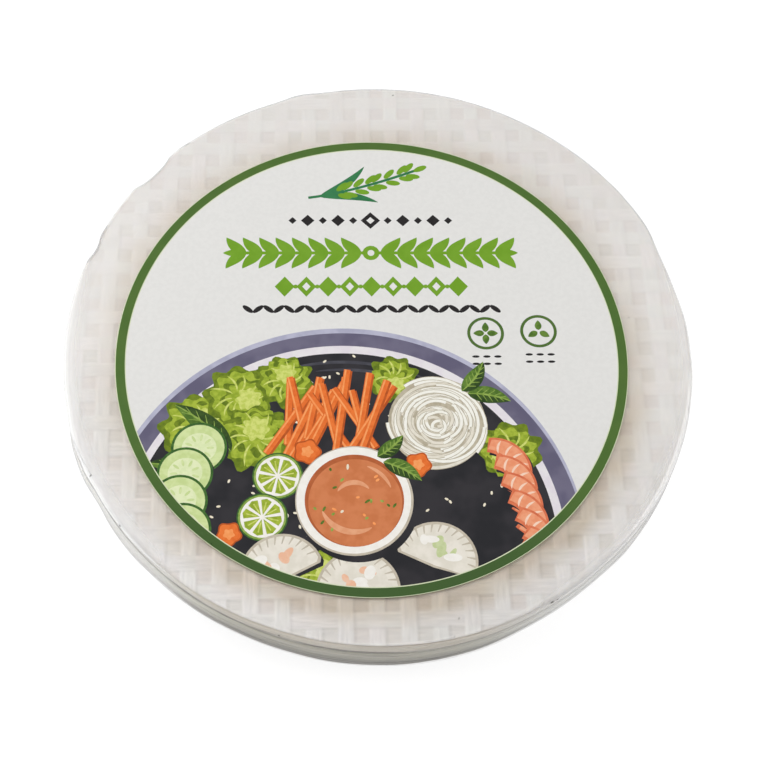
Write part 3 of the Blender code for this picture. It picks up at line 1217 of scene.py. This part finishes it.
def draw_parcel(art, centre, turn, filling, seed):
    """A folded half-moon parcel, its filling showing faintly, with a pleated edge."""
    source = random.Random(seed)
    base, inner_base = [(-13, -1.6), (0, -2.4), (13, -1.6)], [(-12, -0.9), (0, -1.6), (12, -0.9)]
    outline = np.concatenate((arc_points((0, 0), 14.0, 0, 180, 26), base))
    inside = np.concatenate((arc_points((0, 0), 13.1, 2, 178, 24), inner_base))
    art.add("tray", turned(outline, (centre[0] + 0.9, centre[1] - 1.2), turn))
    art.add("parcel_dark", turned(outline, centre, turn))
    art.add("parcel", turned(inside, centre, turn))
    for index in range(7):
        place = (source.uniform(-7, 7), source.uniform(1.5, 7.5))
        half = (source.uniform(1.6, 3.4), source.uniform(0.9, 1.9))
        ink = filling if index % 3 else "parcel_light"
        art.add(ink, turned(oval(place, half, source.uniform(0, 180)), centre, turn))
    for index in range(13):
        angle = 12 + index * 13
        line = [polar((0, 0), 10.4, angle + 4), polar((0, 0), 13.2, angle)]
        art.add("parcel_dark", turned(stroke(line, (0.3, 0.75)), centre, turn))


def draw_citrus(art, centre, radius, turn):
    art.discs(centre, (
        ("skin", 0, 0, radius, 36), ("leaf_light", 0, 0, radius - 0.5, 36),
        ("parcel_light", 0, 0, radius - 1.2, 36),
    ))
    for index in range(8):
        angle = turn + index * 45
        corners = ((0.8, 0), (radius - 2.3, -17), (radius - 1.8, 0), (radius - 2.3, 17))
        art.add("frill", [polar(centre, reach, angle + turned_by) for reach, turned_by in corners])
        pulp = [polar(centre, reach, angle) for reach in (2.0, radius - 3)]
        art.add("frill_light", stroke(pulp, 0.45))


def draw_coin(art, centre, radius, turn):
    """A carrot coin cut with a scalloped edge."""
    angle = np.arange(40) * 2 * math.pi / 40
    for ink, share, depth in (
        ("carrot_dark", 1.0, 0.10), ("carrot", 0.88, 0.10), ("carrot_light", 0.42, 0.16),
    ):
        reach = radius * share * (1 + depth * np.cos(5 * angle + math.radians(turn)))
        art.add(ink, round_points(reach, angle) + centre)


def draw_dip(art):
    source = random.Random(31)
    art.discs(BOWL, (
        ("tray", 1.2, -1.8, 20.5, 72), ("parcel_dark", 0, 0, 20.0, 80),
        ("parcel_light", -0.2, 0.2, 19.4, 80), ("sauce_dark", 0, 0, 16.8, 72),
        ("sauce", 0.3, -0.8, 15.9, 72),
    ))
    for radius, start, stop, width in (
        (11.5, 200, 300, 2.2), (6.5, 40, 150, 1.8), (13.2, 20, 70, 1.3),
    ):
        art.add("sauce_light", stroke(arc_points(BOWL, radius, start, stop, 18), taper(18, width)))
    for _ in range(22):
        place = polar(BOWL, 14 * math.sqrt(source.random()), source.uniform(0, 360))
        ink = source.choice(("leaf", "leaf_light", "seed", "carrot_light"))
        art.add(ink, oval(place, (source.uniform(0.6, 1.1), 0.45), source.uniform(0, 180), 10))


def draw_seeds(art):
    source = random.Random(77)
    for _ in range(70):
        place = polar(TRAY, 71 * math.sqrt(source.random()), source.uniform(10, 170))
        art.add("seed", oval(place, (0.75, 0.42), source.uniform(0, 180), 8))


def draw_picture(art):
    art.origin = PICTURE_SHIFT
    draw_tray(art)
    draw_seeds(art)
    for centre, radius, seed in (
        ((-50, -27), 12.5, 1), ((-36, -15), 11.5, 2), ((-20, -9), 9.5, 3), ((-30, -31), 12.0, 4),
        ((58, -36), 10.5, 5), ((18, -8), 8.5, 6), ((-6, -82), 10.0, 8),
    ):
        draw_frill(art, centre, radius, seed)
    draw_herb(art, (-40, -38), (-66, -40), 8.5, 0.1)
    draw_herb(art, (-38, -36), (-58, -18), 8.0, -0.12)
    draw_sticks(art, (-4, -22), 12)
    draw_noodles(art, (33, -25), 17.5, 21)
    draw_herb(art, (44, -14), (59, -17), 6.5, 0.12)
    draw_herb(art, (42, -13), (50, -1.5), 6.0, -0.15)
    for index in range(6):
        draw_slice(art, (52 + 1.5 * index, -44 - 6.4 * index), -66 - 4 * index)
    for index in range(7):
        draw_cucumber(art, polar((-20, -54), 35, 146 + index * 17), 9.6, index * 23)
    draw_citrus(art, (-22, -45), 8.6, 10)
    draw_citrus(art, (-27, -60), 8.6, 32)
    draw_parcel(art, (-20, -80), 24, "blush", 41)
    draw_parcel(art, (31, -76), -22, "tint", 43)
    draw_parcel(art, (5, -86), 4, "blush", 42)
    for place, radius, turn in (((-12, -36), 4.6, 10), ((26, -41), 4.4, 40), ((-38, -66), 4.2, 70)):
        draw_coin(art, place, radius, turn)
    draw_dip(art)
    draw_herb(art, (14, -40), (27, -47), 6.0, 0.12)
    draw_herb(art, (12, -38), (21, -30), 5.5, -0.12)
    art.origin = (0.0, 0.0)


# ---- the label

CARD_RADIUS = LABEL_RADIUS / MM
# The rings of the border from the outside in: ink, and where it ends, in mm
BORDER = (
    ("keyline", CARD_RADIUS), ("ring", CARD_RADIUS - 0.25),
    ("keyline", CARD_RADIUS - 3.45), (None, CARD_RADIUS - 3.8),
)
PRINT_REACH = CARD_RADIUS - 1.2  # shapes are cut off under the border
CARD_THICKNESS = 0.3
RING_FRONT = (66, 94, 48)  # the border's green at the label's front


def inside_outline(points, outline):
    """Which points lie inside an outline, by the non-zero winding rule."""
    x, y = points[:, 0, None], points[:, 1, None]
    x0, y0 = outline[:, 0], outline[:, 1]
    x1, y1 = np.roll(x0, -1), np.roll(y0, -1)
    left = (x1 - x0) * (y - y0) - (x - x0) * (y1 - y0)
    winding = ((y0 <= y) & (y1 > y) & (left > 0)).sum(axis=1)
    winding -= ((y0 > y) & (y1 <= y) & (left < 0)).sum(axis=1)
    return winding != 0


def printed_faces(shapes):
    """Cut the card's face along every outline, and find each triangle's ink."""
    rings = [(ink, disc((0, 0), radius, 360)) for ink, radius in BORDER]
    outlines = [outline for _, outline in shapes + rings]
    points, edges = [], []
    for outline in outlines:
        first, count = len(points), len(outline)
        points += [Vector(point) for point in outline]
        edges += [(first + i, first + (i + 1) % count) for i in range(count)]
    cut = delaunay_2d_cdt(points, edges, [], 0, 1e-5, False)
    corners = np.array([tuple(point) for point in cut[0]])
    triangles = np.array(cut[2])
    middles = corners[triangles].mean(axis=1)
    on_card = inside_outline(middles, rings[0][1])
    triangles, middles = triangles[on_card], middles[on_card]
    names = list(INKS)
    inks = np.zeros(len(triangles), dtype=int)
    for ink, outline in shapes:
        low, high = outline.min(axis=0), outline.max(axis=0)
        near = np.flatnonzero(((middles >= low) & (middles <= high)).all(axis=1))
        inks[near[inside_outline(middles[near], outline)]] = names.index(ink)
    for (_, inner), (ink, outer) in zip(rings[:0:-1], rings[-2::-1]):
        between = inside_outline(middles, outer) & ~inside_outline(middles, inner)
        inks[between] = names.index(ink)
    return corners, triangles, inks


def ink_material(name, tone, second, size):
    """Printed ink on matt coated card, slightly uneven in tone."""
    s = Shader("print_" + name)
    place = s.position()
    patches = s.ramp(s.noise(place, 1 / (size * MM), 2.0, 0.55), 0.35, 0.65)
    colour = s.mix(patches, paint(*tone), paint(*second))
    if name == "ring":
        front = s.ramp(s.parts(place)[1], -0.5 * LABEL_RADIUS, -0.95 * LABEL_RADIUS)
        colour = s.mix(front, colour, paint(*RING_FRONT))
    grain = s.noise(place, 1500.0, 2.0)
    s.set(Base_Color=colour, Roughness=s.fitted(grain, 0.12, 0.55), Specular_IOR_Level=0.15)
    return s.material


def build_label():
    """The printed card: inked face, cut edge and plain back."""
    art = Print()
    draw_sprig(art)
    draw_diamond_rule(art, 55.5, 36)
    draw_garland(art, 41.5, 54)
    draw_lozenge_chain(art, 27.3, 35)
    draw_grain_row(art, 18.0, 46.5)
    draw_picture(art)
    draw_badges(art)
    corners, triangles, inks = printed_faces(art.shapes)
    flat = turned(corners, (0, 0), math.degrees(LABEL_TURN)) * MM
    x, y = flat[:, 0] + LABEL_CENTRE.x, flat[:, 1] + LABEL_CENTRE.y
    points = np.stack((x, y, np.full(len(flat), LABEL_HIGH.z)), axis=1)
    body = bmesh.new()
    vertices = [body.verts.new(point) for point in points]
    for triangle, ink in zip(triangles, inks):
        face = body.faces.new([vertices[i] for i in triangle])
        face.material_index = int(ink)
    bmesh.ops.delete(body, geom=[v for v in body.verts if not v.link_faces], context="VERTS")
    close_card(body)
    mesh = bpy.data.meshes.new("printed_label")
    body.to_mesh(mesh)
    body.free()
    for name, (tone, second, size) in INKS.items():
        mesh.materials.append(ink_material(name, tone, second, size))
    return add_piece("printed_label", mesh, "label_disc")


def close_card(body):
    """Give the printed face its thickness and a plain back."""
    card, shaded_cut_edge = list(INKS).index("card"), list(INKS).index("shaded_cut_edge")
    rim = [edge for edge in body.edges if edge.is_boundary]
    made = bmesh.ops.extrude_edge_only(body, edges=rim)["geom"]
    for part in made:
        if isinstance(part, bmesh.types.BMVert):
            part.co.z -= CARD_THICKNESS * MM
        elif isinstance(part, bmesh.types.BMFace):
            # the cut edge takes the dark tone of the painted shadow
            part.material_index = shaded_cut_edge
    rim = [edge for edge in body.edges if edge.is_boundary]
    for face in bmesh.ops.edgeloop_fill(body, edges=rim)["faces"]:
        face.material_index = card
    bmesh.ops.recalc_face_normals(body, faces=body.faces)


# ---- floor and light


def build_floor():
    mesh = bpy.data.meshes.new("floor")
    body = bmesh.new()
    bmesh.ops.create_grid(body, x_segments=2, y_segments=2, size=3.0)
    body.to_mesh(mesh)
    body.free()
    floor = bpy.data.objects.new("floor", mesh)
    bpy.context.scene.collection.objects.link(floor)
    floor.location.z = PACK_LOW.z - 0.05 * MM
    s = Shader("pale_floor")
    tone = s.noise(s.position(), 3.0, 2.0)
    s.set(Base_Color=s.mix(tone, (0.29, 0.29, 0.29, 1), (0.31, 0.31, 0.31, 1)))
    s.set(Roughness=0.9, Specular_IOR_Level=0.1)
    s.set(Emission_Color=(1.0, 1.0, 1.0, 1.0), Emission_Strength=0.80)
    mesh.materials.append(s.material)


def add_softbox(name, azimuth, elevation, distance, size, glow):
    """A softbox that faces the object; glow is how bright its face looks."""
    light = bpy.data.lights.new(name, "AREA")
    light.shape = "RECTANGLE"
    light.size, light.size_y = size
    light.energy = glow * math.pi * size[0] * size[1]
    lamp = bpy.data.objects.new(name, light)
    bpy.context.scene.collection.objects.link(lamp)
    azimuth, elevation = math.radians(azimuth), math.radians(elevation)
    level = math.cos(elevation)
    way = Vector((level * math.cos(azimuth), level * math.sin(azimuth), math.sin(elevation)))
    lamp.location = way * distance
    lamp.rotation_euler = way.to_track_quat("Z", "Y").to_euler()


ROOM_GLOW = 0.12
# Azimuth and elevation in degrees, distance and face in metres, and its glow
SOFTBOXES = (
    ("overhead", 270, 84, 1.5, (1.5, 0.9), 0.92),
    ("back_box", 88, 50, 1.9, (2.1, 1.0), 0.99),
    ("left_high", 121, 67, 1.7, (0.75, 0.60), 1.6),
    ("left_box", 167, 31, 0.9, (0.72, 0.50), 2.8),
    ("left_mid", 160, 54, 0.9, (0.55, 0.28), 1.3),
    ("right_box", 8, 34, 0.9, (0.45, 0.52), 3.4),
    ("left_low", 194, 13, 1.2, (0.9, 0.4), 3.2),
    ("right_low", 346, 13, 1.2, (0.9, 0.4), 1.5),
    ("front_low", 270, 10, 1.4, (1.2, 0.3), 0.8),
    ("front_box", 270, 48, 1.5, (1.3, 0.7), 0.55),
)


def build_light():
    world = bpy.data.worlds.new("soft_room")
    bpy.context.scene.world = world
    world.use_nodes = True
    world.node_tree.nodes["Background"].inputs[0].default_value = (1.0, 1.0, 1.0, 1.0)
    world.node_tree.nodes["Background"].inputs[1].default_value = ROOM_GLOW
    for name, azimuth, elevation, distance, size, glow in SOFTBOXES:
        add_softbox(name, azimuth, elevation, distance, size, glow)


# ---- camera

CAMERA_DISTANCE = 0.55
CAMERA_ELEVATION = math.radians(63.15)
CAMERA_ROLL = math.radians(3.41)
CAMERA_AIM = (2.6 * MM, -9.7 * MM)  # from the label's middle, on its face
CAMERA_LENS = 74.41


def build_camera():
    data = bpy.data.cameras.new("camera")
    data.lens = CAMERA_LENS
    data.clip_start = 0.01
    camera = bpy.data.objects.new("camera", data)
    bpy.context.scene.collection.objects.link(camera)
    aim = Vector((LABEL_CENTRE.x + CAMERA_AIM[0], LABEL_CENTRE.y + CAMERA_AIM[1], LABEL_LOW.z))
    sine, cosine = math.sin(CAMERA_ELEVATION), math.cos(CAMERA_ELEVATION)
    camera.location = aim + CAMERA_DISTANCE * Vector((0, -cosine, sine))
    camera.rotation_euler = (math.pi / 2 - CAMERA_ELEVATION, 0.0, 0.0)
    camera.rotation_euler.rotate_axis("Z", CAMERA_ROLL)
    bpy.context.scene.camera = camera


def main():
    surface = PackSurface(PACK)
    paper = rice_paper_material()
    base = PACK_LOW.z
    upper = edge_material("paper_edge_upper", UPPER_EDGE, UPPER_EDGE, base + HEIGHT, base)
    ends = (base + 0.8 * HEIGHT, base - 0.1 * HEIGHT)
    lower = edge_material("paper_edge_lower", LOWER_EDGE, PAINTED_BASE_SHADE, *ends)
    last = SHEETS - 1
    build_outer_sheet(
        surface, "top_sheet", 0, paper, relief=(1.0, 0.0), first=0.80, step=0.0045, columns=1440
    )
    shade = shade_material()
    build_sheets(surface, "upper_sheets", range(1, UPPER_SHEETS), upper, shade)
    build_sheets(surface, "lower_sheets", range(UPPER_SHEETS, last), lower, shade)
    build_outer_sheet(
        surface, "base_sheet", last, paper, relief=(0.0, 1.0), first=0.1, step=0.012, columns=720
    )
    build_film(surface, film_material("clear_film", clearness=0.97, milk=0.03))
    build_folds(surface, film_material("film_fold", clearness=0.86, milk=0.06))
    build_label()
    build_floor()
    build_light()
    build_camera()
    bpy.context.scene.view_settings.view_transform = "Standard"


main()
